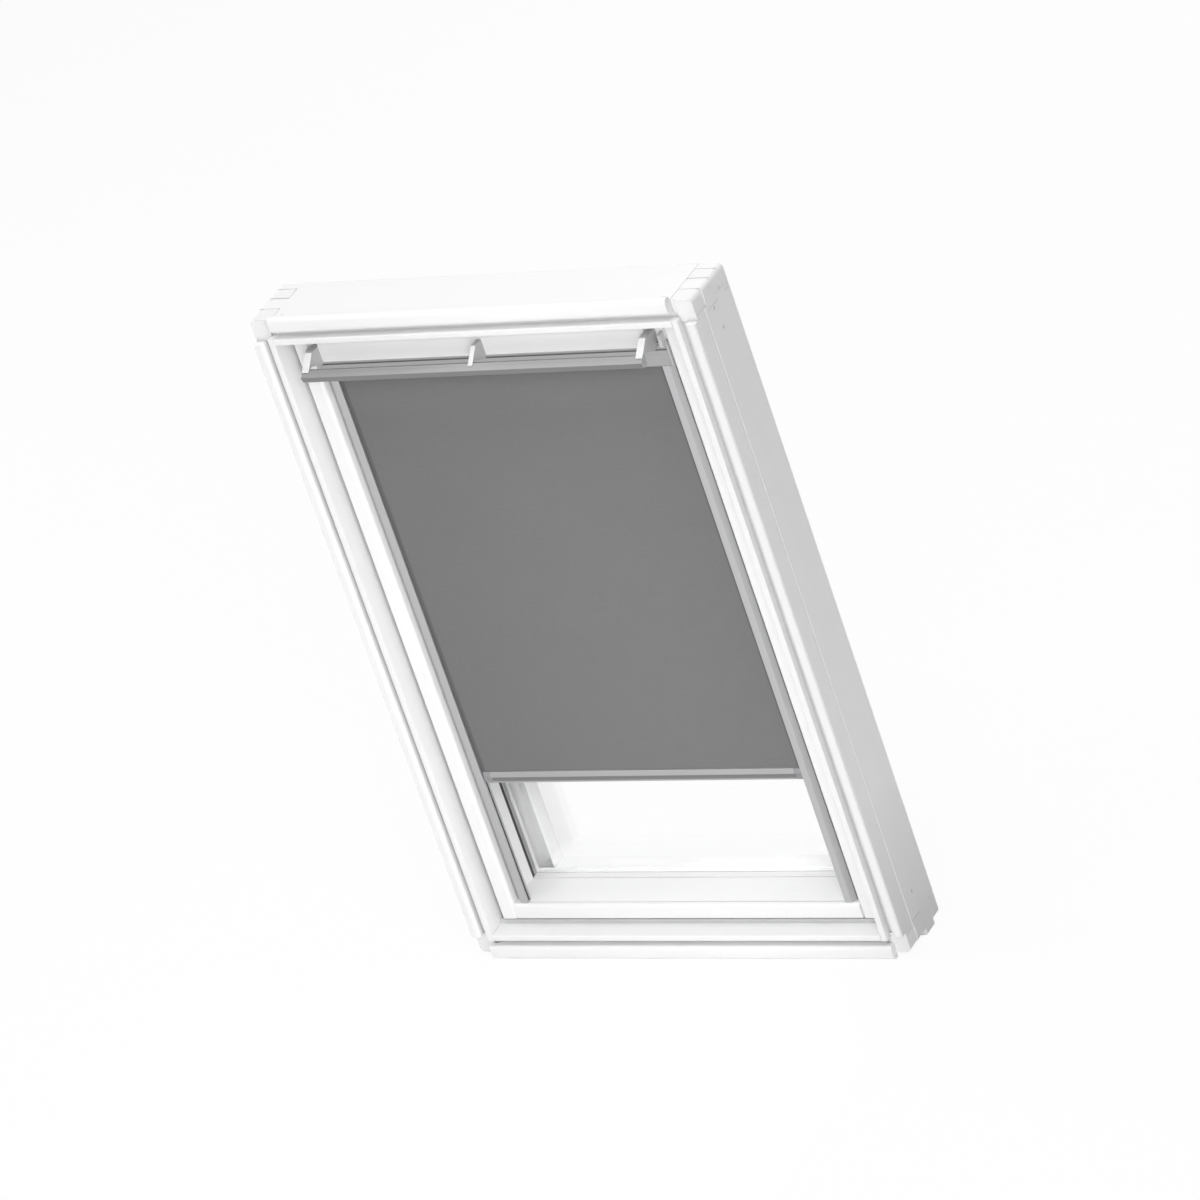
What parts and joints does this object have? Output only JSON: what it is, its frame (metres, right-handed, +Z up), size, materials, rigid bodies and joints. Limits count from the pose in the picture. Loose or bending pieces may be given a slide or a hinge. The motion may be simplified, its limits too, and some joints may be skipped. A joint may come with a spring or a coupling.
{
  "type": "centre-pivot roof window with blackout roller blind",
  "caption": "Upright centre-pivot roof window with a painted wooden frame and sash, glazing, a ventilation flap with a control bar, and a blackout roller blind in side channels.",
  "frame": {"origin": "middle of the frame's bottom outer face, at half the frame's depth", "axes": "+X across the window to the right as seen from the room, +Y out through the roof (the room is at -Y), +Z up the slope, with the window stood upright"},
  "size_m": [0.78, 0.2019, 1.186],
  "materials": {
    "white_painted_pine": "satin white paint",
    "white_aluminium": "white powder coat",
    "anodised_aluminium": "matt anodised",
    "bar_aluminium": "satin anodised",
    "cover_sheet": "light lacquer",
    "zinc_steel": "zinc plated",
    "black_rubber": "matt",
    "grey_rubber": "matt",
    "clear_glass": "polished",
    "grey_plastic": "matt",
    "white_plastic": "satin",
    "filter_foam": "open foam",
    "blackout_fabric": "matt woven, coated"
  },
  "bodies": {
    "frame": {"frame_side_left": "white_painted_pine", "frame_side_right": "white_painted_pine", "frame_top": "white_painted_pine", "frame_bottom": "white_painted_pine", "frame_seal_lower_left": "black_rubber", "frame_seal_lower_right": "black_rubber", "frame_seal_upper_left": "black_rubber", "frame_seal_upper_right": "black_rubber", "frame_seal_bottom": "grey_rubber", "pivot_plate_left": "zinc_steel", "pivot_plate_right": "zinc_steel", "striker_plate": "zinc_steel"},
    "sash": {"sash_stile_left": "white_painted_pine", "sash_stile_right": "white_painted_pine", "sash_rail_top": "white_painted_pine", "sash_rail_bottom": "white_painted_pine", "glazing_gasket": "black_rubber", "glass_pane_inner": "clear_glass", "glass_spacer": "anodised_aluminium", "glass_pane_outer": "clear_glass", "cover_left": "cover_sheet", "cover_right": "cover_sheet", "cover_top": "cover_sheet", "cover_bottom": "cover_sheet", "pivot_arm_left": "zinc_steel", "pivot_arm_right": "zinc_steel", "vent_filter": "filter_foam", "rod_bearing_left": "grey_plastic", "rod_bearing_right": "grey_plastic", "latch_case": "zinc_steel", "blind_casing": "anodised_aluminium", "casing_end_left": "grey_plastic", "casing_end_right": "grey_plastic", "casing_clip_left": "zinc_steel", "casing_clip_right": "zinc_steel", "side_channel_left": "anodised_aluminium", "side_channel_right": "anodised_aluminium", "channel_screw_lower_left": "zinc_steel", "channel_screw_middle_left": "zinc_steel", "channel_screw_upper_left": "zinc_steel", "channel_screw_lower_right": "zinc_steel", "channel_screw_middle_right": "zinc_steel", "channel_screw_upper_right": "zinc_steel", "fabric_panel": "blackout_fabric"},
    "flap": {"flap_panel": "white_aluminium", "flap_rod": "zinc_steel", "control_bar": "bar_aluminium", "bar_bracket_left": "white_plastic", "bar_bracket_centre": "white_plastic", "bar_bracket_right": "white_plastic"},
    "latch": {"latch_bolt": "zinc_steel"},
    "roller": {"roller_tube": "anodised_aluminium", "roller_idler_plug": "grey_plastic", "roller_spring_cartridge": "grey_plastic", "fabric_roll": "blackout_fabric"},
    "blind_bar": {"bottom_bar": "bar_aluminium", "bar_glide_left": "grey_plastic", "bar_glide_right": "grey_plastic"}
  },
  "joints": [
    {"name": "sash_pivot", "type": "hinge", "parent": "frame", "child": "sash", "pos_m": [0, 0.015, 0.585], "axis": [1, 0, 0], "range_deg": [0, 160]},
    {"name": "flap_hinge", "type": "hinge", "parent": "sash", "child": "flap", "pos_m": [0, -0.037, 1.093], "axis": [1, 0, 0], "range_deg": [0, 35]},
    {"name": "latch_slide", "type": "slide", "parent": "sash", "child": "latch", "axis": [0, 0, -1], "range_m": [0, 0.006]},
    {"name": "blind_slide", "type": "slide", "parent": "sash", "child": "blind_bar", "axis": [0, 0, 1], "range_m": [-0.2235, 0.722], "deforming": ["fabric_panel"]},
    {"name": "roller_turn", "type": "hinge", "parent": "sash", "child": "roller", "pos_m": [0, -0.0015, 1.069], "axis": [1, 0, 0], "range_deg": [-2400, 750]}
  ],
  "couplings": [
    {"joint": "latch_slide", "follows": "flap_hinge", "m_per_rad": 0.00982},
    {"joint": "roller_turn", "follows": "blind_slide", "rad_per_m": -57.143}
  ]
}
